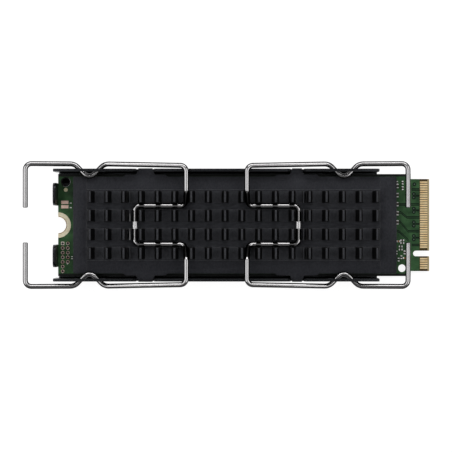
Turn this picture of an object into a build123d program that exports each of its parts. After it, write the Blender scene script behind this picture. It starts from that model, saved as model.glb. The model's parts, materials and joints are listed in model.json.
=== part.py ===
from build123d import *
import os

os.makedirs("parts", exist_ok=True)

# All sizes are millimetres. +X points at the edge contacts, +Z up, and the tray stands on z = 0.

# Printed board of the 22 by 80 format with one key notch
board_length = 80.0
board_width = 22.0
board_thickness = 0.8
tongue_shoulder = 1.075
tongue_length = 4.0
key_width = 1.2
key_depth = 3.5
key_offset = 6.125
edge_bevel = 0.2
screw_notch_radius = 1.75
screw_notch_sides = 32
tooling_hole_diameter = 1.65
tooling_hole_sides = 24
key_end_sides = 16

# Plated areas of the board
plating = 0.05
contact_pitch = 0.5
contact_width = 0.35
contact_length = 1.6
contact_setback = 0.4
contact_margin = 0.5
contact_key_clearance = 0.4
land_width = 1.0
header_pitch = 1.0
header_hole_diameter = 0.4
header_pad_width = 0.7
header_first_inset = 0.97
header_second_inset = 2.07
header_edge = 1.0
header_fewer_count = 2
header_sides = 6
land_gap = 1.2
service_pad_length = 1.57
service_pad_width = 0.7
service_pad_inset = 1.44
service_pad_pitch = 0.95
fiducial_diameter = 0.9
fiducial_sides = 8
fiducial_step = 1.7
corner_hole_inset = 1.63
corner_hole_edge = 1.7
edge_hole_inset = 5.87

# Parts soldered on the board
chip_height = 1.2
chip_bevel = 0.12
memory_length = 12.0
memory_side = 2.0
memory_gap = 4.0
buffer_length = 10.0
buffer_width = 13.0
buffer_gap = 4.0
controller_side = 14.0
controller_gap = 1.5
power_chip_side = 3.6
power_chip_height = 0.8
power_gap = 0.5
power_chip_offset = 5.4
coil_side = 2.4
coil_height = 1.0
coil_offset = 1.8
coil_pitch = 3.4
coil_count = 3
crystal_length = 2.0
crystal_width = 1.6
crystal_height = 0.6
large_capacitor_length = 1.6
large_capacitor_width = 0.8
large_capacitor_height = 0.8
large_capacitor_pitch = 3.2
large_capacitor_count = 5
small_capacitor_length = 1.0
small_capacitor_width = 0.5
small_capacitor_height = 0.5
small_capacitor_pitch = 2.2
small_capacitor_count = 6
resistor_height = 0.3
resistor_pitch = 1.8
resistor_count = 6
resistor_gap = 0.6
coupling_length = 0.9
coupling_width = 0.42
coupling_height = 0.35
coupling_inset = 6.85
coupling_gap = 1.84
coupling_count = 5
coupling_pitch = 1.95
coupling_offset = 0.6
cap_end = 0.2

# Soft pads that carry heat to the tray and to the heat sink
lower_pad_thickness = 0.5
upper_pad_thickness = 0.5
pad_margin = 0.6
lower_pad_side = 1.5
lower_pad_inset = 4.6

# Folded sheet tray
sheet = 0.6
bend_radius = 0.3
board_side_clearance = 0.4
board_end_clearance = 0.05
tray_length = 69.5
floor_setback = 0.05
tab_inner = 4.2
tab_outer = 9.0
tab_corner = 1.5
wall_corner = 0.6
relief_sides = 8
screw_relief = 0.45
bridge_height = 0.5
window_play = 0.65
window_half_length = 3.3

# Heat sink, an extruded comb that is cut across
plate_inset = 3.48
plate_length = 69.2
plate_side_clearance = 1.05
upper_pad_side = 0.9
plate_thickness = 1.0
plate_corner = 0.2
fin_height = 4.0
fin_top = 0.62
fin_base = 1.55
fin_pitch = 3.58
fin_columns = 18
first_fin_inset = 3.87
fin_rows = 4
fin_length = 2.5
channel_width = 1.5
channel_step = 0.1
zone_margin = 0.15
row_margin = 0.3
rib_height = 1.6
rib_top = 0.28
rib_base = 0.4
rib_count = 2
rib_pitch = 0.7
rib_clearance = 0.28
guide_length = 9.4
guide_clearance = 0.6
ear_taper = 0.5
ear_overhang = 0.15
ear_clearance = 0.15
ear_seat_clearance = 0.1
ears = ((15.47, 4.0), (47.9, 3.05))

# Spring wire clip, measured from the axis through its two inward bends
wire_diameter = 1.1
wire_sides = 8
arm_clearance = 0.5
leg_reach = 13.5
leg_tip_offset = 3.7
leg_rise = 1.6
hook_run = 3.15
hook_depth = 3.3
hook_lift = 0.2
seat_reach = 9.7
seat_gap = 0.05
left_seat_column = 3
right_seat_column = 12
left_seat_clearance = 0.09
right_seat_clearance = 0.08
bar_column = 6
bar_clearance = 0.1
bar_side_clearance = 0.08
bar_wall_clearance = 0.1
dive_margin = 0.05
run_shift = 0.1
corner_radius = 1.3
seat_radius = 0.95
hook_radius = 1.6
arm_radius = 2.2
dive_radius = 1.2
flat_end_clearance = 0.05
flat_width = 1.45
flat_height = 0.75
flat_bevel = 0.2

# Levels
wire_radius = wire_diameter / 2
pad_level = sheet
board_bottom = pad_level + lower_pad_thickness
board_top = board_bottom + board_thickness
chip_top = board_top + chip_height
plate_bottom = chip_top + upper_pad_thickness
plate_top = plate_bottom + plate_thickness
fin_level = plate_top + fin_height
hook_level = plate_top + hook_lift + wire_radius
seat_level = plate_top + seat_gap + wire_radius
window_bottom = hook_level - wire_radius - window_play
window_top = hook_level + wire_radius + window_play
wall_top = window_top + bridge_height
bar_level = wall_top + bar_wall_clearance + wire_radius

# Widths, measured from the middle
wall_inner = board_width / 2 + board_side_clearance
wall_outer = wall_inner + sheet
plate_half = wall_inner - plate_side_clearance
tongue_width = board_width - 2 * tongue_shoulder
memory_width = board_width - 2 * memory_side
land_radius = screw_notch_radius + land_width
corner_hole_offset = board_width / 2 - corner_hole_edge
arm_offset = wall_outer + arm_clearance + wire_radius
bar_offset = wall_outer + bar_side_clearance + wire_radius
row_pitch = fin_length + channel_width
row_end = fin_rows * row_pitch / 2 - channel_width / 2
run_offset = row_pitch * (fin_rows // 2 - 1) + run_shift


def fin_half(level):
    """Half the thickness of a fin at a height above the floor."""
    share = (level - plate_top) / fin_height
    return (fin_base + (fin_top - fin_base) * share) / 2


# Lengths from the plain end of the board, then moved so that the middle of the whole is x = 0
fin_from_end = plate_inset + first_fin_inset
seat_half = fin_half(seat_level) + wire_radius
left_seat_from_end = fin_from_end + left_seat_column * fin_pitch - seat_half - left_seat_clearance
leg_overhang = leg_reach + wire_radius - (left_seat_from_end - seat_reach)
board_right = (board_length + leg_overhang) / 2
board_left = board_right - board_length
plate_left = board_left + plate_inset
first_fin = board_left + fin_from_end
left_seat = board_left + left_seat_from_end
left_pivot = left_seat - seat_reach
right_seat = first_fin + right_seat_column * fin_pitch + seat_half + right_seat_clearance
right_pivot = right_seat + seat_reach
bar_fin = first_fin + bar_column * fin_pitch - wire_radius - bar_clearance - left_pivot
bar_reach = bar_fin - fin_half(bar_level)
run_reach = bar_fin - fin_half(seat_level)
tray_left = board_left - board_end_clearance - sheet
tray_right = tray_left + tray_length
floor_left = board_left + floor_setback

# Chips stand in line from the contact end
coupling_x = board_right - coupling_inset
power_x = coupling_x - coupling_width / 2 - coupling_gap - power_chip_side / 2
controller_x = power_x - power_chip_side / 2 - power_gap - controller_side / 2
buffer_x = controller_x - controller_side / 2 - controller_gap - buffer_length / 2
memory_x = buffer_x - buffer_length / 2 - buffer_gap - memory_length / 2


def block(x0, x1, y0, y1, z0, z1):
    """A plain block between two corners."""
    middle = Pos((x0 + x1) / 2, (y0 + y1) / 2, (z0 + z1) / 2)
    return middle * Box(x1 - x0, y1 - y0, z1 - z0)


def plate_of(outline, level, thickness):
    """A flat outline raised from a level."""
    return extrude(Pos(0, 0, level) * outline, amount=thickness)


def save(shape, name):
    """One file for each sub-part."""
    solids = shape.solids()
    whole = solids[0] if len(solids) == 1 else Compound(children=list(solids))
    whole.label = name
    export_step(whole, os.path.join("parts", name + ".step"))


def header_points():
    """Centres of the plated holes of the two header columns."""
    points = []
    first = land_radius + land_gap
    count = int((board_width / 2 - header_edge - first) / header_pitch) + 1
    for inset, places in ((header_first_inset, count), (header_second_inset, count - header_fewer_count)):
        for step in range(places):
            points.append((board_left + inset, -first - step * header_pitch))
    return points


def make_board():
    """Board with its key, screw notch, tooling holes and bevelled contact edge."""
    body_length = board_length - tongue_length
    outline = Pos(board_left + body_length / 2, 0) * Rectangle(body_length, board_width)
    outline += Pos(board_right - tongue_length / 2, 0) * Rectangle(tongue_length, tongue_width)
    slot_length = key_depth - key_width / 2
    slot_end = board_right - slot_length
    outline -= Pos(board_right - slot_length / 2, -key_offset) * Rectangle(slot_length, key_width)
    outline -= Pos(slot_end, -key_offset) * RegularPolygon(key_width / 2, key_end_sides)
    outline -= Pos(board_left, 0) * RegularPolygon(screw_notch_radius, screw_notch_sides)
    hole = RegularPolygon(tooling_hole_diameter / 2, tooling_hole_sides)
    outline -= Pos(board_left + corner_hole_inset, corner_hole_offset) * hole
    outline -= Pos(board_right - edge_hole_inset, -corner_hole_offset) * hole
    for x, y in header_points():
        outline -= Pos(x, y) * RegularPolygon(header_hole_diameter / 2, header_sides)
    board = plate_of(outline, board_bottom, board_thickness)
    edge = board.edges().filter_by(Axis.Y).filter_by(lambda e: abs(e.center().X - board_right) < 1e-6)
    return chamfer(edge, edge_bevel)


def make_contacts(fewer, level):
    """One side of the edge contacts, with the key's places left out."""
    pads = []
    room = tongue_width - 2 * contact_margin - contact_width
    count = round(room / contact_pitch) + 1 - fewer
    centre = board_right - contact_setback - contact_length / 2
    for step in range(count):
        y = (count - 1) * contact_pitch / 2 - step * contact_pitch
        if abs(y + key_offset) > key_width / 2 + contact_key_clearance:
            pads.append(Pos(centre, y, level + plating / 2) * Box(contact_length, contact_width, plating))
    return Compound(children=pads)


def make_land(level):
    """Half ring of plating round the screw notch."""
    ring = RegularPolygon(land_radius, screw_notch_sides)
    ring -= RegularPolygon(screw_notch_radius, screw_notch_sides)
    ring -= Pos(-board_width / 2, 0) * Rectangle(board_width, board_width)
    return plate_of(Pos(board_left, 0) * ring, level, plating)


def make_header_pads():
    """Solder rings of the header holes, the first one square."""
    pads = []
    for index, (x, y) in enumerate(header_points()):
        sides = 4 if index == 0 else header_sides
        pad = RegularPolygon(header_pad_width / 2, sides, major_radius=False, rotation=180 / sides)
        pad -= RegularPolygon(header_hole_diameter / 2, header_sides)
        pads.append(plate_of(Pos(x, y) * pad, board_top, plating))
    return Compound(children=pads)


def make_service_pads():
    """Two bare pads beside the screw notch."""
    pads = []
    for step in range(2):
        pad = Pos(service_pad_inset, land_radius + land_gap + step * service_pad_pitch)
        pad *= Rectangle(service_pad_length, service_pad_width)
        pads.append(plate_of(Pos(board_left, 0) * pad, board_top, plating))
    return Compound(children=pads)


def make_fiducial():
    """Round alignment mark."""
    y = corner_hole_offset - fiducial_step
    spot = Pos(board_left + corner_hole_inset, y) * RegularPolygon(fiducial_diameter / 2, fiducial_sides)
    return plate_of(spot, board_top, plating)


def make_chip(x, y, length, width, height):
    """Moulded chip with bevelled upper edges."""
    chip = block(x - length / 2, x + length / 2, y - width / 2, y + width / 2, board_top, board_top + height)
    return chamfer(chip.faces().sort_by(Axis.Z)[-1].edges(), chip_bevel)


def make_row(places, length, width, height):
    """A row of like small parts on the board."""
    parts = []
    for x, y in places:
        parts.append(Pos(x, y, board_top + height / 2) * Box(length, width, height))
    return Compound(children=parts)


def make_tray():
    """Folded channel with ear notches, clip windows and two end tabs."""
    inner_height = wall_top - sheet
    outside = Pos(0, wall_top / 2) * Rectangle(2 * wall_outer, wall_top)
    outside = fillet(outside.vertices().sort_by(Axis.Y)[:2], bend_radius + sheet)
    inside = Pos(0, sheet + inner_height / 2) * Rectangle(2 * wall_inner, inner_height)
    inside = fillet(inside.vertices().sort_by(Axis.Y)[:2], bend_radius)
    section = Plane.YZ.offset(tray_left) * (outside - inside)
    tray = extrude(section, amount=tray_length)
    tray -= block(tray_left - sheet, floor_left, -wall_inner, wall_inner, -sheet, wall_top)
    relief = Pos(board_left, 0) * RegularPolygon(land_radius + screw_relief, relief_sides)
    tray -= plate_of(relief, -sheet, 3 * sheet)
    ear_floor = plate_bottom - ear_seat_clearance
    for inset, root in ears:
        x = plate_left + inset
        half_ear = (root - ear_taper) / 2 + ear_clearance
        tray -= block(x - half_ear, x + half_ear, -2 * wall_outer, 2 * wall_outer, ear_floor, 2 * wall_top)
    for x in (left_pivot, right_pivot):
        x0 = x - window_half_length
        x1 = x + window_half_length
        tray -= block(x0, x1, -2 * wall_outer, 2 * wall_outer, window_bottom, window_top)
    tops = tray.edges().filter_by(Axis.Y).filter_by(lambda e: abs(e.center().Z - wall_top) < 1e-6)
    tray = chamfer(tops, wall_corner)
    return tray + make_tab(1) + make_tab(-1)


def make_tab(side):
    """One upright tab folded from the floor at the plain end of the board."""
    foot_end = floor_left + bend_radius + sheet
    corner = (tray_left, 0)
    inside = tray_left + sheet
    profile = Polyline(corner, (foot_end, 0), (foot_end, sheet), (inside, sheet))
    profile += Polyline((inside, sheet), (inside, wall_top), (tray_left, wall_top), corner)
    face = make_face(profile)
    outer = face.vertices().sort_by(lambda v: abs(v.X - tray_left) + abs(v.Y))[0]
    face = fillet(outer, bend_radius + sheet)
    inner = face.vertices().sort_by(lambda v: abs(v.X - inside) + abs(v.Y - sheet))[0]
    face = fillet(inner, bend_radius)
    width = tab_outer - tab_inner
    middle = side * (tab_inner + tab_outer) / 2
    tab = extrude(Plane.XZ.offset(-middle) * face, amount=width / 2, both=True)
    tops = tab.edges().filter_by(Axis.X).filter_by(lambda e: abs(e.center().Z - wall_top) < 1e-6)
    return fillet(tops, tab_corner)


def lobe(x, wide, near, slim, far):
    """Flat shape across the plate, wide out to the near line and slim at the far one."""
    points = [(x - wide, -near), (x - slim, -far), (x + slim, -far), (x + wide, -near)]
    points += [(x + wide, near), (x + slim, far), (x - slim, far), (x - wide, near)]
    return make_face(Polyline(*points, close=True))


def make_heat_sink():
    """Plate with guide ears, cross-cut fins and the pairs of stop ribs beside the clips."""
    outline = Pos(plate_left + plate_length / 2, 0) * Rectangle(plate_length, 2 * plate_half)
    outline = chamfer(outline.vertices(), plate_corner)
    guide = wall_inner - guide_clearance
    tip = wall_outer + ear_overhang
    slope = guide - plate_half
    for inset, root in ears:
        x = plate_left + inset
        outline += lobe(x, guide_length / 2, plate_half, guide_length / 2 - slope, guide)
        outline += lobe(x, root / 2, guide, root / 2 - ear_taper, tip)
    plate = plate_of(outline, plate_bottom, plate_thickness)
    comb = Sketch()
    for column in range(fin_columns):
        comb += tooth(first_fin + column * fin_pitch, fin_base, fin_top, fin_height)
    for step in range(rib_count):
        away = wire_radius + rib_clearance + rib_base / 2 + step * rib_pitch
        comb += tooth(left_seat - away, rib_base, rib_top, rib_height)
        comb += tooth(right_seat + away, rib_base, rib_top, rib_height)
    fins = extrude(Plane.XZ * comb, amount=row_end, both=True)
    zone_left = first_fin - fin_base / 2 - zone_margin
    zone_right = first_fin + (fin_columns - 1) * fin_pitch + fin_base / 2 + zone_margin
    low = plate_top - channel_step
    for row in range(fin_rows - 1):
        y = (row - (fin_rows - 2) / 2) * row_pitch
        y0 = y - channel_width / 2
        y1 = y + channel_width / 2
        fins -= block(zone_left, zone_right, y0, y1, low, fin_level + 1)
        plate -= block(zone_left, zone_right, y0, y1, low, fin_level + 1)
    for side in (1, -1):
        y0, y1 = sorted((side * (row_end + row_margin), side * 2 * wall_outer))
        plate -= block(zone_left, zone_right, y0, y1, low, fin_level + 1)
    return plate + fins


def tooth(x, base, top, height):
    """Tapered section of one fin or rib, standing a little inside the plate."""
    sunk = channel_step / 2
    points = [(x - base / 2, plate_top - sunk), (x - base / 2, plate_top), (x - top / 2, plate_top + height)]
    points += [(x + top / 2, plate_top + height), (x + base / 2, plate_top), (x + base / 2, plate_top - sunk)]
    return make_face(Polyline(*points, close=True))


def make_clip():
    """Spring clip bent from one wire, with its hook axis along Y through the origin."""
    hook_tip = arm_offset - hook_depth
    leg = leg_rise
    bar = bar_level - hook_level
    seat = seat_level - hook_level
    points = [(-leg_reach, leg_tip_offset, leg), (-leg_reach, arm_offset, leg)]
    points += [(-hook_run, arm_offset, 0), (0, hook_tip, 0), (hook_run, arm_offset, 0)]
    points += [(bar_reach, bar_offset, bar), (bar_reach, row_end + dive_margin, bar)]
    points += [(run_reach, run_offset, seat), (seat_reach, run_offset, seat)]
    radii = [corner_radius, arm_radius, hook_radius, arm_radius]
    radii += [corner_radius, dive_radius, dive_radius, seat_radius]
    points += [(x, -y, z) for x, y, z in reversed(points)]
    radii += list(reversed(radii))
    path = FilletPolyline(*points, radius=radii)
    start = Plane(origin=path @ 0, z_dir=path % 0)
    section = RegularPolygon(wire_radius, wire_sides, major_radius=False, rotation=180 / wire_sides)
    wire = sweep(start * section, path=path)
    half = channel_width / 2 - flat_end_clearance
    reach = wire_diameter
    wire -= block(seat_reach - reach, seat_reach + reach, -half, half, seat - reach, seat + reach)
    flat = Rectangle(flat_width, flat_height)
    flat = chamfer(flat.vertices(), flat_bevel)
    return wire + extrude(Plane.XZ * Pos(seat_reach, seat) * flat, amount=half, both=True)


def spread(count, pitch):
    """Evenly spaced places about zero."""
    return [(step - (count - 1) / 2) * pitch for step in range(count)]


save(make_board(), "circuit_board")
save(make_contacts(0, board_top), "contacts_top")
save(make_contacts(1, board_bottom - plating), "contacts_bottom")
save(make_land(board_top), "screw_land_top")
save(make_land(board_bottom - plating), "screw_land_bottom")
save(make_header_pads(), "header_pads")
save(make_service_pads(), "service_pads")
save(make_fiducial(), "fiducial_mark")

memory_step = memory_length + memory_gap
save(make_chip(memory_x - memory_step, 0, memory_length, memory_width, chip_height), "memory_chip_1")
save(make_chip(memory_x, 0, memory_length, memory_width, chip_height), "memory_chip_2")
save(make_chip(buffer_x, 0, buffer_length, buffer_width, chip_height), "buffer_chip")
save(make_chip(controller_x, 0, controller_side, controller_side, chip_height), "controller_chip")
save(make_chip(power_x, power_chip_offset, power_chip_side, power_chip_side, power_chip_height), "power_chip")

coil_places = [(power_x, coil_offset - step * coil_pitch) for step in range(coil_count)]
save(make_row(coil_places, coil_side, coil_side, coil_height), "power_coils")
crystal_places = [(buffer_x, (buffer_width + crystal_width) / 2 + resistor_gap)]
save(make_row(crystal_places, crystal_length, crystal_width, crystal_height), "timing_crystal")
large_columns = (memory_x - memory_step / 2, memory_x + (memory_length + buffer_gap) / 2)
large_rows = spread(large_capacitor_count, large_capacitor_pitch)
large_places = [(x, y) for x in large_columns for y in large_rows]
large_parts = make_row(large_places, large_capacitor_length, large_capacitor_width, large_capacitor_height)
save(large_parts, "large_capacitors")
small_x = controller_x - (controller_side + controller_gap) / 2
small_places = [(small_x, y) for y in spread(small_capacitor_count, small_capacitor_pitch)]
small_parts = make_row(small_places, small_capacitor_width, small_capacitor_length, small_capacitor_height)
save(small_parts, "small_capacitors")
resistor_y = -(controller_side / 2 + resistor_gap + small_capacitor_length / 2)
resistor_places = [(controller_x + x, resistor_y) for x in spread(resistor_count, resistor_pitch)]
save(make_row(resistor_places, small_capacitor_width, small_capacitor_length, resistor_height), "resistors")

coupling_places = [(coupling_x, coupling_offset + step * coupling_pitch) for step in range(coupling_count)]
body_length = coupling_length - 2 * cap_end
save(make_row(coupling_places, coupling_width, body_length, coupling_height), "coupling_capacitors")
end_step = (coupling_length - cap_end) / 2
end_places = [(x, y + side * end_step) for x, y in coupling_places for side in (1, -1)]
save(make_row(end_places, coupling_width, cap_end, coupling_height), "capacitor_ends")

upper_left = memory_x - memory_step - memory_length / 2 - pad_margin
upper_right = controller_x + controller_side / 2 + pad_margin
upper_half = plate_half - upper_pad_side
save(block(upper_left, upper_right, -upper_half, upper_half, chip_top, plate_bottom), "upper_thermal_pad")
lower_left = board_left + lower_pad_inset
lower_right = tray_right - pad_margin
lower_half = board_width / 2 - lower_pad_side
save(block(lower_left, lower_right, -lower_half, lower_half, sheet, board_bottom), "lower_thermal_pad")

save(make_heat_sink(), "heat_sink")
save(make_tray(), "tray")
clip = make_clip()
save(Pos(left_pivot, 0, hook_level) * clip, "left_clip")
save(Pos(right_pivot, 0, hook_level) * Rot(0, 0, 180) * clip, "right_clip")
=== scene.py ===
import json
import math

import bmesh
import bpy
from mathutils import Matrix, Vector

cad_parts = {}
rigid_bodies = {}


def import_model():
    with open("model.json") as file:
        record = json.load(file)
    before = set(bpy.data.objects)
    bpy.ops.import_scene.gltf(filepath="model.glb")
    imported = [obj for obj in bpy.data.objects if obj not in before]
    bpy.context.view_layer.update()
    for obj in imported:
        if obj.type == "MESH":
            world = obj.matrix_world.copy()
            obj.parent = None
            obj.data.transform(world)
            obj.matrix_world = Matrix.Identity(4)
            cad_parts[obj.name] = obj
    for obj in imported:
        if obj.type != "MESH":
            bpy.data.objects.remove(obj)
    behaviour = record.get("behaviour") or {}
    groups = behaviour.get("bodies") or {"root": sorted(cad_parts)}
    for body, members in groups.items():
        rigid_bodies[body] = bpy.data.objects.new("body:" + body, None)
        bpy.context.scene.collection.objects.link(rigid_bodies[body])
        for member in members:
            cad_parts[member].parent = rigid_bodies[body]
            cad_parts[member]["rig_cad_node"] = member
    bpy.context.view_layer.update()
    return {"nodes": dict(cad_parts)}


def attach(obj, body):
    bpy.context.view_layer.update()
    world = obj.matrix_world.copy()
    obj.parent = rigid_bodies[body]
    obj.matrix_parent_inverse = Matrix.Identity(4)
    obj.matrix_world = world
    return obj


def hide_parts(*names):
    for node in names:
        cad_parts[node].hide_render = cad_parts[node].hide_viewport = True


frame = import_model()
nodes = frame["nodes"]
mm = 0.001
near = 1e-7  # m, slack where points are picked by their place
nearLevel = 1e-6  # m, slack where levels are compared
mergeGap = 0.002 * mm  # points closer than this become one
bevelSteps = 2  # faces across each small bevel
print("frame loaded,", len(nodes), "nodes")


# Hand tools used on every piece

def letGo():
    active = bpy.context.view_layer.objects.active
    if active is not None and active.mode != "OBJECT":
        bpy.ops.object.mode_set(mode="OBJECT")
    bpy.ops.object.select_all(action="DESELECT")


def takeHold(piece):
    letGo()
    piece.select_set(True)
    bpy.context.view_layer.objects.active = piece


def drop(piece):
    takeHold(piece)
    bpy.ops.object.delete()


def applyPlace():
    bpy.ops.object.transform_apply(location=True, rotation=True, scale=True)


def startEdit(piece, kind="FACE"):
    takeHold(piece)
    bpy.ops.object.mode_set(mode="EDIT")
    bpy.ops.mesh.select_mode(type=kind)


def endEdit():
    bpy.ops.object.mode_set(mode="OBJECT")


def pickAll():
    bpy.ops.mesh.select_all(action="SELECT")


def pick(piece, kind, test):
    bpy.ops.mesh.select_mode(type=kind)
    bpy.ops.mesh.select_all(action="DESELECT")
    mesh = bmesh.from_edit_mesh(piece.data)
    found = {"VERT": mesh.verts, "EDGE": mesh.edges, "FACE": mesh.faces}[kind]
    for item in found:
        if test(item):
            item.select_set(True)
    mesh.select_flush_mode()
    bmesh.update_edit_mesh(piece.data)


def push(value):
    bpy.ops.mesh.extrude_region_move(TRANSFORM_OT_translate={"value": value})


def turnOutwards():
    pickAll()
    bpy.ops.mesh.normals_make_consistent(inside=False)


def coat(piece, *finishNames):
    piece.data.materials.clear()
    for finishName in finishNames:
        piece.data.materials.append(finishOf[finishName])


def slotOf(piece, finishName):
    return list(piece.data.materials).index(finishOf[finishName])


def coatFaces(piece, finishName, test):
    pick(piece, "FACE", test)
    piece.active_material_index = slotOf(piece, finishName)
    bpy.ops.object.material_slot_assign()


def bevelSharp(piece, width, angle, finishName=None):
    rounded = piece.modifiers.new("rounded_edges", "BEVEL")
    rounded.width = width * mm
    rounded.segments = bevelSteps
    rounded.limit_method = "ANGLE"
    rounded.angle_limit = math.radians(angle)
    if finishName:
        rounded.material = slotOf(piece, finishName)
    bpy.ops.object.modifier_apply(modifier=rounded.name)


def copyOf(piece, turn=0.0, move=(0, 0, 0)):
    takeHold(piece)
    bpy.ops.object.duplicate(linked=False)
    twin = bpy.context.view_layer.objects.active
    twin.matrix_world = Matrix.Translation(Vector(move)) @ Matrix.Rotation(turn, 4, "Z")
    applyPlace()
    return twin


def settle(piece, name, body, smoothAngle=35):
    takeHold(piece)
    piece.name = name
    piece.data.name = name
    applyPlace()
    bpy.ops.object.shade_smooth_by_angle(angle=math.radians(smoothAngle))
    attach(piece, body)
    letGo()


# Camera, straight above as in the photograph

cameraSet = {  # mm
    "x": -0.317,
    "y": -0.2,
    "height": 347.0,
    "lens": 127.5,
    "film": 36,
    "nearest": 10,
}
letGo()
bpy.ops.object.camera_add(
    location=(cameraSet["x"] * mm, cameraSet["y"] * mm, cameraSet["height"] * mm),
    rotation=(0, 0, 0),
)
camera = bpy.context.object
camera.name = "overhead_camera"
camera.data.lens = cameraSet["lens"]
camera.data.sensor_width = cameraSet["film"]
camera.data.clip_start = cameraSet["nearest"] * mm
bpy.context.scene.camera = camera
bpy.context.scene.view_settings.view_transform = "Standard"
print("camera placed")


# Four large soft boxes leaning over the part, a dim one overhead and a dark surround

softBoxes = {  # places and sizes in m
    "north": {"place": (0.0, 0.360, 0.347), "size": (0.50, 0.24), "radiance": 2.50},
    "south": {"place": (0.0, -0.294, 0.405), "size": (0.50, 0.44), "radiance": 0.07},
    "west": {"place": (-0.367, 0.0, 0.340), "size": (0.50, 0.57), "radiance": 1.28},
    "east": {"place": (0.317, 0.0, 0.387), "size": (0.50, 0.39), "radiance": 1.36},
    "overhead": {"place": (0.0, 0.0, 0.62), "size": (0.24, 0.24), "radiance": 0.17},
}
surround = {"colour": (1, 1, 1), "light": 0.05}
for label, box in softBoxes.items():
    letGo()
    spot = Vector(box["place"])
    aim = (-spot).to_track_quat("-Z", "Y").to_euler()
    bpy.ops.object.light_add(type="AREA", location=spot, rotation=aim)
    lamp = bpy.context.object
    lamp.name = "softbox_" + label
    lamp.data.shape = "RECTANGLE"
    lamp.data.size, lamp.data.size_y = box["size"]
    lamp.data.energy = math.pi * box["radiance"] * box["size"][0] * box["size"][1]

world = bpy.data.worlds.new("dark_surround")
bpy.context.scene.world = world
world.use_nodes = True
sky = world.node_tree.nodes["Background"]
sky.inputs["Color"].default_value = (*surround["colour"], 1)
sky.inputs["Strength"].default_value = surround["light"]
print("lights placed")


# Finishes, each with broad patches for its colour and a fine grain for its roughness and bump

usualStart, usualEnd = 0.3, 0.7  # part of a noise that counts where nothing else is said
plainLook = {  # what every finish has unless its own entry says otherwise
    "mottleDetail": 4.0,
    "grainDetail": 3.0,
    "waveShare": 0.55,  # how strongly the finer waves of a noise show
    "patches": (0.32, 0.68),  # part of the noise over which dark turns to light
    "stretch": (1, 1, 1),
    "strength": 0.5,
    "metal": 0.0,
    "gloss": 0.5,
    "tint": (1, 1, 1),
}


def addNode(tree, kind, **settings):
    node = tree.nodes.new(kind)
    for key, value in settings.items():
        if key in node.inputs:
            node.inputs[key].default_value = value
        else:
            setattr(node, key, value)
    return node


def placeOn(tree, stretch=(1, 1, 1)):
    place = addNode(tree, "ShaderNodeTexCoord")
    mapping = addNode(tree, "ShaderNodeMapping", Scale=stretch)
    tree.links.new(place.outputs["Object"], mapping.inputs["Vector"])
    return mapping.outputs["Vector"]


def noiseOn(tree, vector, scale, detail, waveShare):
    noise = addNode(tree, "ShaderNodeTexNoise", Scale=scale, Detail=detail, Roughness=waveShare)
    tree.links.new(vector, noise.inputs["Vector"])
    return noise.outputs["Fac"]


def rampOn(tree, factor, dark, light, start=usualStart, end=usualEnd):
    ramp = addNode(tree, "ShaderNodeValToRGB")
    stops = zip(ramp.color_ramp.elements, (start, end), (dark, light))
    for element, position, colour in stops:
        element.position = position
        element.color = (*colour, 1)
    tree.links.new(factor, ramp.inputs["Fac"])
    return ramp.outputs["Color"]


def spanOn(tree, factor, low, high, start=usualStart, end=usualEnd):
    span = addNode(tree, "ShaderNodeMapRange")
    span.inputs["From Min"].default_value = start
    span.inputs["From Max"].default_value = end
    span.inputs["To Min"].default_value = low
    span.inputs["To Max"].default_value = high
    tree.links.new(factor, span.inputs["Value"])
    return span.outputs["Result"]


def mixOn(tree, factor, first, second):
    mix = addNode(tree, "ShaderNodeMix", data_type="RGBA")
    tree.links.new(factor, mix.inputs["Factor"])
    colourSockets = [socket for socket in mix.inputs if socket.type == "RGBA"]
    tree.links.new(first, colourSockets[0])
    tree.links.new(second, colourSockets[1])
    return [socket for socket in mix.outputs if socket.type == "RGBA"][0]


def mathOn(tree, operation, *values):
    step = addNode(tree, "ShaderNodeMath", operation=operation)
    for socket, value in zip(step.inputs, values):
        if isinstance(value, bpy.types.NodeSocket):
            tree.links.new(value, socket)
        else:
            socket.default_value = value
    return step.outputs["Value"]


def axesOn(tree, vector):
    split = addNode(tree, "ShaderNodeSeparateXYZ")
    tree.links.new(vector, split.inputs["Vector"])
    return split.outputs


def flatnessOn(tree):  # 1 where a face lies flat, 0 where it stands upright
    face = addNode(tree, "ShaderNodeTexCoord")
    return mathOn(tree, "ABSOLUTE", axesOn(tree, face.outputs["Normal"])["Z"])


def startFinish(name):
    finish = bpy.data.materials.new(name)
    finish.use_nodes = True
    return finish, finish.node_tree, finish.node_tree.nodes["Principled BSDF"]


def makeFinish(name, ownLook, colourOn):
    look = {**plainLook, **ownLook}
    finish, tree, shader = startFinish(name)
    vector = placeOn(tree, look["stretch"])
    broad = noiseOn(tree, vector, look["mottle"], look["mottleDetail"], look["waveShare"])
    fine = noiseOn(tree, vector, look["grain"], look["grainDetail"], look["waveShare"])
    tree.links.new(colourOn(tree, look, broad, fine), shader.inputs["Base Color"])
    tree.links.new(spanOn(tree, fine, *look["rough"]), shader.inputs["Roughness"])
    bump = addNode(
        tree, "ShaderNodeBump", Strength=look["strength"], Distance=look["depth"] * mm
    )
    tree.links.new(fine, bump.inputs["Height"])
    tree.links.new(bump.outputs["Normal"], shader.inputs["Normal"])
    shader.inputs["Metallic"].default_value = look["metal"]
    shader.inputs["Specular IOR Level"].default_value = look["gloss"]
    shader.inputs["Specular Tint"].default_value = (*look["tint"], 1)
    return finish


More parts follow.
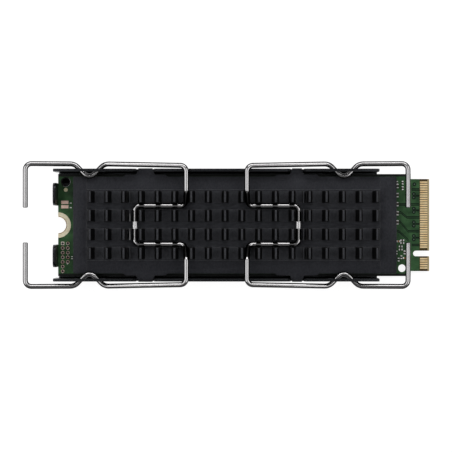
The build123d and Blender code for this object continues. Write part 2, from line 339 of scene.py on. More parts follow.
def mottledColour(tree, look, broad, fine):
    colour = rampOn(tree, broad, look["dark"], look["light"], *look["patches"])
    if "paintedLightField" not in look:
        return colour
    paintedLightField = look["paintedLightField"]  # painted light: a paler middle, within limits along x and y, to make up for the shade of the fins
    axes = axesOn(tree, placeOn(tree))
    across = mathOn(tree, "ABSOLUTE", axes["Y"])
    along = mathOn(tree, "ABSOLUTE", mathOn(tree, "SUBTRACT", axes["X"], paintedLightField["middle"] * mm))
    inPaintedLightField = mathOn(
        tree, "MINIMUM",
        spanOn(tree, across, 1, 0, paintedLightField["reach"] * mm, (paintedLightField["reach"] + paintedLightField["fade"]) * mm),
        spanOn(tree, along, 1, 0, paintedLightField["half"] * mm, (paintedLightField["half"] + paintedLightField["fade"]) * mm),
    )
    paler = rampOn(tree, broad, paintedLightField["dark"], paintedLightField["light"], *look["patches"])
    return mixOn(tree, inPaintedLightField, colour, paler)


looks = {  # mottle and grain are noise scales per m, depth is the bump's in mm
    "anodised": {
        "dark": (0.0200, 0.0204, 0.0240), "light": (0.0320, 0.0326, 0.0376),
        "mottle": 3400, "grain": 5200, "rough": (0.42, 0.56), "depth": 0.006, "gloss": 0.19,
        "tint": (0.86, 0.89, 1.0), "stretch": (1, 0.6, 1),
        "paintedLightField": {  # mm, painted light: the cross-cut rows and what lies between them are paler, to make up for the fins' shade
            "reach": 7.25, "middle": 1.2, "half": 31.5, "fade": 0.05,
            "dark": (0.0330, 0.0336, 0.0375), "light": (0.0510, 0.0520, 0.0575),
        },
    },
    # Painted light: the cross-cut floors are paler than the margins, to make up for the shade
    # between the fin rows
    "anodisedCutPaintedLight": {
        "dark": (0.0240, 0.0244, 0.0278), "light": (0.0440, 0.0448, 0.0506),
        "mottle": 2600, "grain": 6200, "rough": (0.44, 0.56), "depth": 0.005, "gloss": 0.15,
        "tint": (0.86, 0.90, 1.0), "stretch": (0.3, 1, 1),
    },
    # Painted shade: the sides of fins and ribs are near-black, darker than the anodised faces
    "anodisedFlankPaintedShade": {
        "dark": (0.0010, 0.0010, 0.0012), "light": (0.0030, 0.0031, 0.0036),
        "mottle": 700, "grain": 5200, "rough": (0.46, 0.60), "depth": 0.004, "gloss": 0.15,
    },
    # Painted highlight: the broken edges are paler than the faces beside them, to show as
    # bright lines
    "anodisedEdgePaintedHighlight": {
        "dark": (0.018, 0.018, 0.020), "light": (0.052, 0.053, 0.058),
        "mottle": 900, "grain": 6000, "rough": (0.34, 0.46), "depth": 0.003, "gloss": 0.5,
    },
    "wornEdge": {
        "dark": (0.055, 0.055, 0.058), "light": (0.34, 0.34, 0.34),
        "mottle": 1500, "grain": 7000, "rough": (0.30, 0.42), "depth": 0.004, "metal": 0.4,
        "stretch": (1, 0.4, 1),
    },
    # Painted highlight: pale lines along the edges of the fin rows
    "paintedHighlight": {
        "dark": (0.024, 0.025, 0.028), "light": (0.085, 0.087, 0.095),
        "mottle": 1100, "grain": 7000, "rough": (0.30, 0.42), "depth": 0.004, "gloss": 0.6,
    },
    # Painted shade: near-black rings for the dark in and around holes
    "paintedHoleShade": {
        "dark": (0.0015, 0.0015, 0.0016), "light": (0.0040, 0.0040, 0.0044),
        "mottle": 1500, "grain": 7000, "rough": (0.45, 0.60), "depth": 0.004, "gloss": 0.2,
    },
    # Painted highlight: a pale arc on one side of a rim
    "paintedGlint": {
        "dark": (0.16, 0.17, 0.17), "light": (0.50, 0.51, 0.50),
        "mottle": 1900, "grain": 7000, "rough": (0.26, 0.40), "depth": 0.004, "metal": 0.5,
    },
    "brownLip": {
        "dark": (0.17, 0.075, 0.025), "light": (0.62, 0.44, 0.26),
        "mottle": 2600, "grain": 7000, "rough": (0.40, 0.55), "depth": 0.004,
    },
    "blackSheet": {
        "dark": (0.0012, 0.0012, 0.0015), "light": (0.0028, 0.0029, 0.0034),
        "mottle": 320, "grain": 4200, "rough": (0.26, 0.40), "depth": 0.006, "gloss": 0.5,
        "tint": (0.88, 0.92, 1.0),
    },
    "blackSheetEdge": {
        "dark": (0.016, 0.017, 0.019), "light": (0.036, 0.038, 0.042),
        "mottle": 900, "grain": 4200, "rough": (0.26, 0.38), "depth": 0.004, "gloss": 0.6,
    },
    "chipCase": {
        "dark": (0.008, 0.008, 0.009), "light": (0.014, 0.014, 0.015),
        "mottle": 700, "grain": 9000, "rough": (0.55, 0.68), "depth": 0.006, "gloss": 0.35,
    },
    "softPad": {
        "dark": (0.12, 0.125, 0.135), "light": (0.17, 0.175, 0.19),
        "mottle": 420, "grain": 5200, "rough": (0.75, 0.9), "depth": 0.02, "gloss": 0.2,
    },
    "contactGold": {
        "dark": (0.86, 0.61, 0.30), "light": (0.98, 0.78, 0.46),
        "mottle": 900, "grain": 7000, "rough": (0.32, 0.46), "depth": 0.003, "metal": 0.10,
    },
    "screwLand": {
        "dark": (0.83, 0.73, 0.50), "light": (0.94, 0.87, 0.66),
        "mottle": 1100, "grain": 5000, "rough": (0.38, 0.52), "depth": 0.006, "metal": 0.15,
    },
    "fiducialTin": {
        "dark": (0.80, 0.74, 0.45), "light": (0.90, 0.86, 0.62),
        "mottle": 1300, "grain": 6000, "rough": (0.38, 0.5), "depth": 0.006, "metal": 0.2,
    },
    "bareCopper": {
        "dark": (0.84, 0.56, 0.45), "light": (0.95, 0.73, 0.62),
        "mottle": 1300, "grain": 6000, "rough": (0.40, 0.55), "depth": 0.006, "metal": 0.2,
    },
    "ringSolder": {
        "dark": (0.32, 0.13, 0.09), "light": (0.90, 0.78, 0.71),
        "mottle": 2600, "grain": 7000, "rough": (0.34, 0.5), "depth": 0.006, "metal": 0.1,
    },
    "pinOnePlate": {
        "dark": (0.70, 0.58, 0.50), "light": (0.90, 0.84, 0.78),
        "mottle": 2200, "grain": 7000, "rough": (0.30, 0.45), "depth": 0.006, "metal": 0.1,
    },
    "coinedSteel": {
        "dark": (0.74, 0.73, 0.735), "light": (0.94, 0.93, 0.935),
        "mottle": 900, "grain": 7000, "rough": (0.24, 0.34), "depth": 0.004, "metal": 0.65,
    },
    "solder": {
        "dark": (0.80, 0.80, 0.78), "light": (0.94, 0.94, 0.92),
        "mottle": 2400, "grain": 7000, "rough": (0.26, 0.4), "depth": 0.008, "metal": 0.1,
    },
    "brownCeramic": {
        "dark": (0.030, 0.022, 0.016), "light": (0.062, 0.046, 0.034),
        "mottle": 2400, "grain": 9000, "rough": (0.5, 0.62), "depth": 0.004,
    },
    "darkCeramic": {
        "dark": (0.012, 0.012, 0.012), "light": (0.026, 0.024, 0.022),
        "mottle": 2400, "grain": 9000, "rough": (0.42, 0.55), "depth": 0.004,
    },
    "amberCeramic": {
        "dark": (0.30, 0.13, 0.04), "light": (0.46, 0.22, 0.08),
        "mottle": 2400, "grain": 9000, "rough": (0.42, 0.55), "depth": 0.004,
    },
    "canMetal": {
        "dark": (0.45, 0.44, 0.42), "light": (0.62, 0.61, 0.58),
        "mottle": 1800, "grain": 7000, "rough": (0.3, 0.42), "depth": 0.004, "metal": 0.9,
    },
    "whiteInk": {
        "dark": (0.74, 0.76, 0.72), "light": (0.88, 0.89, 0.86),
        "mottle": 3000, "grain": 9000, "rough": (0.55, 0.7), "depth": 0.006,
    },
    "maskOverTrace": {
        "dark": (0.0010, 0.0085, 0.0032), "light": (0.0022, 0.0150, 0.0056),
        "mottle": 900, "grain": 6000, "rough": (0.34, 0.46), "depth": 0.005, "gloss": 0.2,
    },
    "tentedHole": {
        "dark": (0.055, 0.105, 0.065), "light": (0.12, 0.17, 0.13),
        "mottle": 2400, "grain": 6000, "rough": (0.35, 0.5), "depth": 0.005,
    },
}
finishOf = {name: makeFinish(name, look, mottledColour) for name, look in looks.items()}


boardLook = {  # each layer from dark to light
    "mask": ((0.0100, 0.048, 0.0130), (0.0440, 0.128, 0.0430)),
    # painted shade: near-black for the strip along each long edge, which lies in the dark gap
    # under the walls
    "rim": ((0.0006, 0.0022, 0.0009), (0.0012, 0.0040, 0.0016)),
    "laminate": ((0.050, 0.040, 0.022), (0.085, 0.068, 0.038)),
    "bevel": ((0.40, 0.31, 0.15), (0.56, 0.46, 0.25)),
    "fingerGround": ((0.042, 0.024, 0.004), (0.070, 0.042, 0.008)),
    "paintedEdgeShadeStart": 10.35,  # mm from the middle line, where the painted shade along the long edges starts
    "paintedEdgeShadeEnd": 10.55,
    "maskEnd": 41.42,  # mm along the board, where the mask stops before the contacts
    "bareEnd": 43.15,  # mm along the board, where the tongue's bevel starts
    "blend": 0.03,  # mm before each of these ends
    "cut": (0.4, 0.6),  # flatness, from a sawn side to a face
    "mottle": 620,
    "grain": 5200,
    "grainDetail": 2.0,
    "rough": (0.30, 0.42),
    "strength": 0.4,
    "depth": 0.006,
    "gloss": 0.3,
}


def boardColour(tree, look, broad, fine):
    axes = axesOn(tree, placeOn(tree))
    side = mathOn(tree, "ABSOLUTE", axes["Y"])
    # Painted shade: a near-black band along the long edges of the board
    inPaintedEdgeShade = spanOn(tree, side, 0, 1, look["paintedEdgeShadeStart"] * mm, look["paintedEdgeShadeEnd"] * mm)
    inFingers, inBevel = (
        spanOn(tree, axes["X"], 0, 1, (look[end] - look["blend"]) * mm, look[end] * mm)
        for end in ("maskEnd", "bareEnd")
    )
    onCut = spanOn(tree, flatnessOn(tree), 1, 0, *look["cut"])
    colour = rampOn(tree, broad, *look["mask"])
    colour = mixOn(tree, inPaintedEdgeShade, colour, rampOn(tree, broad, *look["rim"]))
    colour = mixOn(tree, inFingers, colour, rampOn(tree, fine, *look["fingerGround"]))
    colour = mixOn(tree, onCut, colour, rampOn(tree, fine, *look["laminate"]))
    return mixOn(tree, inBevel, colour, rampOn(tree, fine, *look["bevel"]))


wireLook = {
    "paintedShadeFlank": (0.050, 0.048, 0.051),  # painted shade: the sides of the wire, darker by how far each face turns from up
    "flankShade": 0.6,  # what the dark patches keep of each colour
    "crown": (0.59, 0.58, 0.585),  # the steel's own colour, kept on the faces that turn up
    "crownShade": 0.86,
    "crownStart": 0.77,  # flatness, from flank to crown
    "crownEnd": 0.87,
    "mottle": 700,
    "grain": 6500,
    "rough": (0.10, 0.19),
    "strength": 0.3,
    "depth": 0.002,
    "metal": 1.0,
}


# Painted shade on the wire: faces that turn from up take the dark side colour, while the upward
# faces keep the steel's own
def wireColour(tree, look, broad, fine):
    onCrown = spanOn(tree, flatnessOn(tree), 0, 1, look["crownStart"], look["crownEnd"])
    paintedShadeFlankDark = [look["flankShade"] * tone for tone in look["paintedShadeFlank"]]
    crownDark = [look["crownShade"] * tone for tone in look["crown"]]
    paintedShadeFlank = rampOn(tree, broad, paintedShadeFlankDark, look["paintedShadeFlank"])
    crown = rampOn(tree, broad, crownDark, look["crown"])
    return mixOn(tree, onCrown, paintedShadeFlank, crown)


finishOf["boardMask"] = makeFinish("boardMask", boardLook, boardColour)
finishOf["springSteel"] = makeFinish("springSteel", wireLook, wireColour)
print("finishes made")


# CAD nodes that are shown as they are take their finish here

nodeFinish = {
    "circuit_board": "boardMask",
    "contacts_top": "contactGold",
    "contacts_bottom": "contactGold",
    "screw_land_top": "screwLand",
    "screw_land_bottom": "screwLand",
    "header_pads": "ringSolder",
    "service_pads": "bareCopper",
    "fiducial_mark": "fiducialTin",
    "memory_chip_1": "chipCase",
    "memory_chip_2": "chipCase",
    "buffer_chip": "chipCase",
    "controller_chip": "chipCase",
    "power_chip": "chipCase",
    "power_coils": "darkCeramic",
    "timing_crystal": "canMetal",
    "large_capacitors": "brownCeramic",
    "small_capacitors": "brownCeramic",
    "resistors": "darkCeramic",
    "coupling_capacitors": "brownCeramic",
    "capacitor_ends": "solder",
    "upper_thermal_pad": "softPad",
    "lower_thermal_pad": "softPad",
}
for name, finishName in nodeFinish.items():
    coat(nodes[name], finishName)
print("nodes finished")


# Heat sink and tray, the CAD shapes with their sharp edges broken

heatSink = {  # mm and degrees
    "finishes": ("anodised", "anodisedEdgePaintedHighlight", "anodisedFlankPaintedShade", "anodisedCutPaintedLight"),
    "edge": 0.05,
    "topLevel": 8.6,  # of the fins
    "topEdge": 0.20,
    "topSegments": 3,
    "flankLow": 4.65,  # the sides of fins and ribs lie between these levels
    "flankHigh": 8.595,
    "flankFlatness": 0.80,  # a face flatter than this is no side
    "cutLevel": 4.5,  # floor of the cross-cuts
    "cutReach": 7.0,  # from the middle line
    "cutFlatness": 0.9,
}
sheetTray = {"finishes": ("blackSheet", "blackSheetEdge"), "edge": 0.07}
edgeWork = {"flatAngle": 0.5, "sharpAngle": 25, "smoothAngle": 40}  # both pieces, degrees


def copyNode(name):
    piece = copyOf(nodes[name])
    del piece["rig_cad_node"]
    startEdit(piece)
    pickAll()
    bpy.ops.mesh.remove_doubles(threshold=mergeGap)
    bpy.ops.mesh.dissolve_limited(angle_limit=math.radians(edgeWork["flatAngle"]))
    endEdit()
    return piece


def roundTops(piece, sink):
    lowest = sink["topLevel"] * mm - nearLevel
    startEdit(piece, "EDGE")
    pick(piece, "EDGE", lambda e: min(v.co.z for v in e.verts) > lowest)
    bpy.ops.mesh.bevel(
        offset=sink["topEdge"] * mm, segments=sink["topSegments"], affect="EDGES"
    )
    endEdit()


def coatFins(piece, sink):
    def isFlank(face):
        height = face.calc_center_median().z
        upright = abs(face.normal.z) < sink["flankFlatness"]
        return upright and sink["flankLow"] * mm < height < sink["flankHigh"] * mm

    def isCutFloor(face):
        middle = face.calc_center_median()
        onFloor = abs(middle.z - sink["cutLevel"] * mm) < nearLevel
        within = abs(middle.y) < sink["cutReach"] * mm
        return onFloor and within and face.normal.z > sink["cutFlatness"]

    startEdit(piece)
    # painted shade on the sides of fins and ribs
    coatFaces(piece, "anodisedFlankPaintedShade", isFlank)
    # painted light on the cross-cut floors
    coatFaces(piece, "anodisedCutPaintedLight", isCutFloor)
    endEdit()


finned = copyNode("heat_sink")
roundTops(finned, heatSink)
coat(finned, *heatSink["finishes"])
# the bevels take the paler edge finish, a painted highlight
bevelSharp(finned, heatSink["edge"], edgeWork["sharpAngle"], "anodisedEdgePaintedHighlight")
coatFins(finned, heatSink)
settle(finned, "finned_heat_sink", "drive", edgeWork["smoothAngle"])
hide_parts("heat_sink")

folded = copyNode("tray")
coat(folded, *sheetTray["finishes"])
bevelSharp(folded, sheetTray["edge"], edgeWork["sharpAngle"], "blackSheetEdge")
settle(folded, "folded_tray", "drive", edgeWork["smoothAngle"])
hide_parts("tray")
print("heat sink and tray edges broken")


# Spring clips, each bent from one round wire

springClip = {  # mm and degrees
    "wireRadius": 0.55,
    "sides": 24,
    "stepAngle": 9.0,
    "fewestSteps": 3,
    "route": [  # corner and bend radius, from the tip to the seat bar; the rest is its mirror
        ((-13.5, 3.7, 1.6), 0),
        ((-13.5, 13.05, 1.6), 1.3),
        ((-3.15, 13.05, 0.0), 2.2),
        ((0.0, 9.75, 0.0), 1.6),
        ((3.15, 13.05, 0.0), 2.2),
        ((20.7206, 12.63, 2.35), 1.3),
        ((20.7206, 7.3, 2.35), 1.2),
        ((20.43, 4.1, -0.15), 1.2),
        ((9.7, 4.1, -0.15), 0.95),
        ((9.7, 0.92, -0.15), 0),
    ],
    "tipBevel": 0.12,
    "tipShare": 0.8,  # of the wire's width, left at the bevelled tip
    "rimBand": (0.9, 1.01),  # distance of the tip's rim from its middle, in wire radii
    "flatTaper": 0.78,  # from the middle line, where the wire turns into its coined flat
    "flatStart": 0.73,
    "flatWidth": 1.03,
    "flatHeight": 0.84,
    "seamGap": 0.005,  # between the halves, closed when one is mirrored
    "hookLevel": 5.35,  # height and places of the two hook axes
    "leftPivot": -29.4526,
    "rightPivot": 24.8479,
    "smoothAngle": 30,
}


def bendWire(clip):
    route = [(Vector(place) * mm, bend * mm) for place, bend in clip["route"]]
    radius = clip["wireRadius"] * mm
    tip, end = route[0][0], route[-1][0]
    letGo()
    bpy.ops.mesh.primitive_circle_add(
        vertices=clip["sides"], radius=radius, location=tip,
        rotation=(-math.pi / 2, 0, 0), fill_type="NOTHING",
    )
    wire = bpy.context.object
    applyPlace()
    startEdit(wire, "VERT")
    pickAll()
    here = tip
    for (before, _), (corner, bend), (after, _) in zip(route, route[1:], route[2:]):
        back = (corner - before).normalized()
        ahead = (after - corner).normalized()
        angle = back.angle(ahead)
        reach = bend * math.tan(angle / 2)
        bendStart = corner - back * reach
        push(bendStart - here)
        inward = (ahead - back * back.dot(ahead)).normalized()
        bpy.ops.mesh.spin(
            steps=max(clip["fewestSteps"], round(math.degrees(angle) / clip["stepAngle"])),
            angle=-angle,
            center=bendStart + inward * bend,
            axis=back.cross(ahead).normalized(),
        )
        here = corner + ahead * reach
    push(end - here)

    # The seat bar runs into the coined flat at the middle
    taper = Vector((end.x, clip["flatTaper"] * mm, end.z))
    flat = Vector((end.x, clip["flatStart"] * mm, end.z))
    push(taper - end)
    push(flat - taper)
    width, height = (clip[size] * mm / (2 * radius) for size in ("flatWidth", "flatHeight"))
    bpy.ops.transform.resize(value=(width, 1, height), center_override=flat)
    push(Vector((0, -flat.y, 0)))

    # The open tip is closed by a smaller disc, and its rim moved back for the bevel
    nearest, farthest = (share * radius for share in clip["rimBand"])

    def isTipRim(vert):
        return nearest < (vert.co - tip).length < farthest

    pick(wire, "VERT", isTipRim)
    push(Vector((0, 0, 0)))
    bpy.ops.transform.resize(value=(clip["tipShare"], 1, clip["tipShare"]), center_override=tip)
    bpy.ops.mesh.edge_face_add()
    pick(wire, "VERT", isTipRim)
    bpy.ops.transform.translate(value=(0, clip["tipBevel"] * mm, 0))
    endEdit()

    other = wire.modifiers.new("other_half", "MIRROR")
    other.use_axis = (False, True, False)
    other.use_clip = True
    other.merge_threshold = clip["seamGap"] * mm
    bpy.ops.object.modifier_apply(modifier=other.name)
    coat(wire, "springSteel", "coinedSteel")
    startEdit(wire)
    pickAll()
    bpy.ops.mesh.remove_doubles(threshold=mergeGap)
    turnOutwards()
    coatFaces(wire, "coinedSteel", lambda f: abs(f.calc_center_median().y) < taper.y)
    endEdit()
    return wire


springWire = bendWire(springClip)
leftMove = Vector((springClip["leftPivot"], 0, springClip["hookLevel"])) * mm
rightMove = Vector((springClip["rightPivot"], 0, springClip["hookLevel"])) * mm
rightWire = copyOf(springWire, math.pi, rightMove)
leftWire = copyOf(springWire, 0, leftMove)
drop(springWire)
settle(leftWire, "left_spring_clip", "left_wire", springClip["smoothAngle"])
settle(rightWire, "right_spring_clip", "right_wire", springClip["smoothAngle"])
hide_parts("left_clip")
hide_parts("right_clip")
print("spring clips bent")


# Marks, tracks and plated holes on the board, all lying on its upper face

boardMarks = {  # mm and degrees
    "level": 1.9,
    "inkDepth": 0.02,
    "inkCorner": 0.05,
    "ticks": (  # middle x, middle y, length, width
        (-33.78, 4.735, 0.46, 0.20), (-33.78, 3.744, 0.46, 0.20),
        (-33.51, -6.79, 0.40, 0.17), (-33.51, -7.24, 0.40, 0.17),
    ),
    "arrow": {"place": (-34.46, -8.26), "radius": 0.30, "sides": 3, "turn": 30},
    "trackDepth": 0.012,
    "trackWidth": 0.23,
    "trackPitch": 0.32,
    "trackStub": 0.05,  # first bit of each track, drawn out from there
    "tracks": (  # middle line of each pair
        ((39.75, 7.67), (41.45, 7.67)),
        ((36.75, 4.455), (41.45, 4.455)),
        ((39.75, -4.295), (41.45, -4.295)),
        ((36.30, 2.73), (37.40, 2.73), (38.69, 1.65), (41.45, 1.65)),
        ((36.30, 0.748), (37.18, 0.748), (38.91, -1.32), (41.45, -1.32)),
        ((36.10, -1.148), (37.00, -1.40), (39.05, -3.30)),
    ),
    "leads": (6.32, 3.18, 0.24, -2.72),  # middle y
    "leadStart": 40.50,
    "leadEnd": 41.45,
    "leadWidth": 0.40,
    "viaX": 40.16,
    "viaSpread": 0.38,
    "viaRadius": 0.42,
    "viaHole": 0.14,
    "viaSides": 16,
    "loneVia": (40.30, 8.80),
}


def layFlat(piece, name, depth, finishName):
    startEdit(piece)
    pickAll()
    push((0, 0, depth * mm))
    turnOutwards()
    endEdit()
    coat(piece, finishName)
    settle(piece, name, "drive")


def addStrip(x, y, length, width, level):
    letGo()
    bpy.ops.mesh.primitive_plane_add(size=1, location=(x * mm, y * mm, level * mm))
    strip = bpy.context.object
    strip.scale = (length * mm, width * mm, 1)
    applyPlace()
    return strip


def addDisc(x, y, level, radius, sides, turn=0.0):
    letGo()
    bpy.ops.mesh.primitive_circle_add(
        vertices=sides, radius=radius * mm, fill_type="NGON",
        location=(x * mm, y * mm, level * mm), rotation=(0, 0, math.radians(turn)),
    )
    applyPlace()
    return bpy.context.object


def roundCorners(piece, width):
    startEdit(piece, "VERT")
    pickAll()
    bpy.ops.mesh.bevel(offset=width * mm, segments=bevelSteps, affect="VERTICES")
    endEdit()


def addTrack(points, width, level):
    startX, startY = points[0]
    stub = boardMarks["trackStub"]
    strip = addStrip(startX + stub / 2, startY, stub, width, level)
    startEdit(strip, "VERT")
    here = (startX + stub, startY)
    for corner in points[1:]:
        front = here[0] * mm
        pick(strip, "VERT", lambda v: v.co.x > front - near)
        push(((corner[0] - here[0]) * mm, (corner[1] - here[1]) * mm, 0))
        here = corner
    endEdit()
    return strip


def makeVia(marks):
    via = addDisc(0, 0, marks["level"], marks["viaRadius"], marks["viaSides"])
    startEdit(via)
    pickAll()
    push((0, 0, marks["trackDepth"] * mm))
    bpy.ops.mesh.inset(thickness=(marks["viaRadius"] - marks["viaHole"]) * mm)
    push((0, 0, marks["trackDepth"] * mm))
    turnOutwards()
    endEdit()
    coat(via, "maskOverTrace", "tentedHole")
    startEdit(via)
    halfPlug = (marks["level"] + 1.5 * marks["trackDepth"]) * mm  # halfway up the plug
    coatFaces(via, "tentedHole", lambda f: f.calc_center_median().z > halfPlug)
    endEdit()
    return via


boardTop = boardMarks["level"]
for index, (x, y, length, width) in enumerate(boardMarks["ticks"]):
    tick = addStrip(x, y, length, width, boardTop)
    roundCorners(tick, boardMarks["inkCorner"])
    layFlat(tick, "ink_tick_%d" % (index + 1), boardMarks["inkDepth"], "whiteInk")

arrowSet = boardMarks["arrow"]
arrow = addDisc(
    *arrowSet["place"], boardTop, arrowSet["radius"], arrowSet["sides"], arrowSet["turn"]
)
roundCorners(arrow, boardMarks["inkCorner"])
layFlat(arrow, "ink_arrow", boardMarks["inkDepth"], "whiteInk")

for index, points in enumerate(boardMarks["tracks"]):
    for label, side in (("a", -0.5), ("b", 0.5)):
        moved = [(x, y + side * boardMarks["trackPitch"]) for x, y in points]
        track = addTrack(moved, boardMarks["trackWidth"], boardTop)
        name = "track_%d_%s" % (index + 1, label)
        layFlat(track, name, boardMarks["trackDepth"], "maskOverTrace")

viaPlaces = [boardMarks["loneVia"]]
for index, y in enumerate(boardMarks["leads"]):
    points = ((boardMarks["leadStart"], y), (boardMarks["leadEnd"], y))
    lead = addTrack(points, boardMarks["leadWidth"], boardTop)
    layFlat(lead, "lead_%d" % (index + 1), boardMarks["trackDepth"], "maskOverTrace")
    for side in (-1, 1):
        viaPlaces.append((boardMarks["viaX"], y + side * boardMarks["viaSpread"]))

viaSeed = makeVia(boardMarks)
for index, (x, y) in enumerate(viaPlaces):
    via = copyOf(viaSeed, 0, (x * mm, y * mm, 0))
    settle(via, "via_%d" % (index + 1), "drive")
drop(viaSeed)
print("board marks laid")


# Small ceramic parts soldered beside the connector, one modelled and the rest copied

smallPart = {  # mm and degrees
    "length": 0.78,
    "width": 0.34,
    "height": 0.26,
    "end": 0.22,
    "endProud": 0.012,
    "edge": 0.03,
    "sharpAngle": 50,
    "upright": (  # x, y and body of those that lie along y
        (37.74, 9.12, "brownCeramic"), (37.74, 7.97, "brownCeramic"),
        (36.52, 9.09, "brownCeramic"), (36.43, -5.92, "brownCeramic"),
        (38.17, -5.90, "brownCeramic"), (37.47, -6.92, "darkCeramic"),
        (36.87, -7.44, "darkCeramic"),
    ),
    "lying": (  # and of those that lie along x
        (37.66, -3.28, "brownCeramic"), (37.66, -3.87, "brownCeramic"),
        (37.32, -4.62, "brownCeramic"), (37.32, -5.28, "brownCeramic"),
        (36.84, -3.50, "amberCeramic"), (38.20, -7.10, "amberCeramic"),
    ),
}


def makeSmallPart(part):
    letGo()
    middle = boardTop + part["height"] / 2
    bpy.ops.mesh.primitive_cube_add(size=1, location=(0, 0, middle * mm))
    chip = bpy.context.object
    chip.scale = (part["length"] * mm, part["width"] * mm, part["height"] * mm)
    applyPlace()
    coat(chip, "brownCeramic", "solder")
    cut = (part["length"] / 2 - part["end"]) * mm

    def isEnd(face):
        return abs(face.calc_center_median().x) > cut + near

    def isProud(face):
        return isEnd(face) and face.calc_center_median().z > boardTop * mm + near

    startEdit(chip)
    for x in (-cut, cut):
        pickAll()
        bpy.ops.mesh.bisect(plane_co=(x, 0, 0), plane_no=(1, 0, 0))
    coatFaces(chip, "solder", isEnd)
    pick(chip, "FACE", isProud)
    bpy.ops.mesh.extrude_region_shrink_fatten(
        TRANSFORM_OT_shrink_fatten={"value": part["endProud"] * mm}
    )
    endEdit()
    bevelSharp(chip, part["edge"], part["sharpAngle"])
    return chip


partSeed = makeSmallPart(smallPart)
partCount = 0
for turn, places in ((math.pi / 2, smallPart["upright"]), (0, smallPart["lying"])):
    for x, y, bodyFinish in places:
        partCount += 1
        chip = copyOf(partSeed, turn, (x * mm, y * mm, 0))
        chip.data.materials[0] = finishOf[bodyFinish]
        settle(chip, "small_part_%d" % partCount, "drive")
drop(partSeed)
print(partCount, "small parts soldered")


# Bright lines rubbed on the stop ribs by the left clip

rubbedRibs = {  # mm
    "level": 6.2,
    "depth": 0.012,
    "width": 0.22,
    "corner": 0.07,
    "lines": ((-20.78, 1.64, 1.66), (-20.78, -1.98, 2.40)),  # x, middle y, length
}
for index, (x, y, length) in enumerate(rubbedRibs["lines"]):
    line = addStrip(x, y, rubbedRibs["width"], length, rubbedRibs["level"])
    roundCorners(line, rubbedRibs["corner"])
    layFlat(line, "rubbed_line_%d" % (index + 1), rubbedRibs["depth"], "wornEdge")
print("ribs rubbed")


# Painted highlights: thin pale lines raised along the edges of the fin rows, where the steps of
# the cross-cuts catch the light

paintedHighlightLines = {  # mm
    "left": -30.05,
    "right": 32.60,
    "level": 4.5,
    "height": 0.115,
    "width": 0.075,
    "cuts": 1,
    "lines": (7.58, 3.29, -0.71, -4.71, -7.52),  # middle y
}
highlightLength = paintedHighlightLines["right"] - paintedHighlightLines["left"]
highlightMiddle = (paintedHighlightLines["right"] + paintedHighlightLines["left"]) / 2
for index, y in enumerate(paintedHighlightLines["lines"]):
    highlightLine = addStrip(highlightMiddle, y, highlightLength, paintedHighlightLines["width"], paintedHighlightLines["level"])
    startEdit(highlightLine)
    pickAll()
    bpy.ops.mesh.subdivide(number_cuts=paintedHighlightLines["cuts"])
    endEdit()
    layFlat(highlightLine, "painted_highlight_line_%d" % (index + 1), paintedHighlightLines["height"], "paintedHighlight")
print("painted_highlight_lines laid")


# Wells and first pad of the header, collar and bright rim of a tooling hole, lip of the notch;
# the wells and collar are painted shade, the bright rim a painted highlight

boardLips = {  # mm and degrees
    "depth": 0.012,
    "wells": {
        "x": (-35.5274, -34.4274), "firstY": -3.95, "pitch": 1.0, "counts": (7, 5),
        "outer": 0.25, "inner": 0.17, "level": 1.95, "sides": 12,
    },
    "pinOne": {"place": (-35.5274, -3.95), "side": 0.70, "wall": 0.115, "level": 1.95},
    "tooling": {
        "place": (-34.8674, 9.3), "outer": 1.06, "inner": 0.80, "level": 1.9, "sides": 32,
    },
    # painted highlight on one side of the tooling hole's rim
    "glintArc": {
        "place": (-34.8674, 9.3), "outer": 1.06, "inner": 0.97, "level": 1.912,
        "from": -122, "to": 48,
    },
    "notch": {
        "place": (-36.4974, 0.0), "outer": 1.93, "inner": 1.77, "level": 1.95,
        "from": -86, "to": 86,
    },
    "arcSteps": 14,
    "arcStub": 0.01,  # first bit of each arc, spun on from there
}


def hollow(piece, wall):
    startEdit(piece)
    pickAll()
    bpy.ops.mesh.inset(thickness=wall * mm)
    bpy.ops.mesh.delete(type="FACE")
    endEdit()


def addRing(lip, x=0, y=0):
    ring = addDisc(x, y, lip["level"], lip["outer"], lip["sides"])
    hollow(ring, lip["outer"] - lip["inner"])
    return ring


def addArc(lip):
    x, y = lip["place"]
    stub = boardLips["arcStub"]
    middle = Vector((x, y, lip["level"])) * mm
    strip = addStrip(
        x + (lip["outer"] + lip["inner"]) / 2, y + stub / 2,
        lip["outer"] - lip["inner"], stub, lip["level"],
    )
    start, sweep = math.radians(lip["from"]), math.radians(lip["to"] - lip["from"])
    startEdit(strip, "VERT")
    pickAll()
    bpy.ops.transform.rotate(value=-start, orient_axis="Z", center_override=middle)
    along = Vector((-math.sin(start), math.cos(start), 0))
    pick(strip, "VERT", lambda v: (v.co - middle).dot(along) > stub / 2 * mm)
    bpy.ops.mesh.spin(
        steps=boardLips["arcSteps"], angle=-sweep, center=middle, axis=(0, 0, 1)
    )
    endEdit()
    return strip


wells = boardLips["wells"]
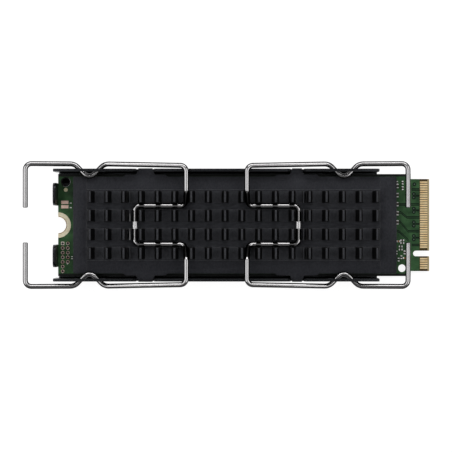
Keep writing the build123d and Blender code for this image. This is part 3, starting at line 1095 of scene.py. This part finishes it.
# painted shade: dark rings in the header's holes
wellSeed = addRing(wells)
wellCount = 0
for x, count in zip(wells["x"], wells["counts"]):
    for step in range(count):
        wellCount += 1
        well = copyOf(wellSeed, 0, (x * mm, (wells["firstY"] - step * wells["pitch"]) * mm, 0))
        layFlat(well, "header_well_%d" % wellCount, boardLips["depth"], "paintedHoleShade")
drop(wellSeed)

pinOne = boardLips["pinOne"]
pad = addStrip(*pinOne["place"], pinOne["side"], pinOne["side"], pinOne["level"])
hollow(pad, pinOne["wall"])
layFlat(pad, "pin_one_pad", boardLips["depth"], "pinOnePlate")

# painted shade: a dark ring around the tooling hole
collar = addRing(boardLips["tooling"], *boardLips["tooling"]["place"])
layFlat(collar, "tooling_collar", boardLips["depth"], "paintedHoleShade")
glint = addArc(boardLips["glintArc"])
layFlat(glint, "tooling_glint", boardLips["depth"], "paintedGlint")
notchLip = addArc(boardLips["notch"])
layFlat(notchLip, "notch_lip", boardLips["depth"], "brownLip")
print("wells and lips laid")


# Pale floor under the part, which glows only where it is seen or mirrored

floorLook = {
    "size": 4.0,  # m
    "level": -0.00004,  # m
    "colour": 0.30,
    "rough": 0.9,
    "gloss": 0.0,
    "glow": 0.90,
}
letGo()
bpy.ops.mesh.primitive_plane_add(size=floorLook["size"], location=(0, 0, floorLook["level"]))
floor = bpy.context.object
floor.name = "pale_floor"
floorFinish, floorTree, floorShader = startFinish("paleFloor")
floorShader.inputs["Base Color"].default_value = (floorLook["colour"],) * 3 + (1,)
floorShader.inputs["Roughness"].default_value = floorLook["rough"]
floorShader.inputs["Specular IOR Level"].default_value = floorLook["gloss"]
floorShader.inputs["Emission Color"].default_value = (1, 1, 1, 1)
ray = addNode(floorTree, "ShaderNodeLightPath").outputs
seen = mathOn(floorTree, "MAXIMUM", ray["Is Camera Ray"], ray["Is Glossy Ray"])
seen = mathOn(floorTree, "MAXIMUM", seen, ray["Is Transmission Ray"])
glow = mathOn(floorTree, "MULTIPLY", seen, floorLook["glow"])
floorTree.links.new(glow, floorShader.inputs["Emission Strength"])
floor.data.materials.append(floorFinish)
print("floor laid")
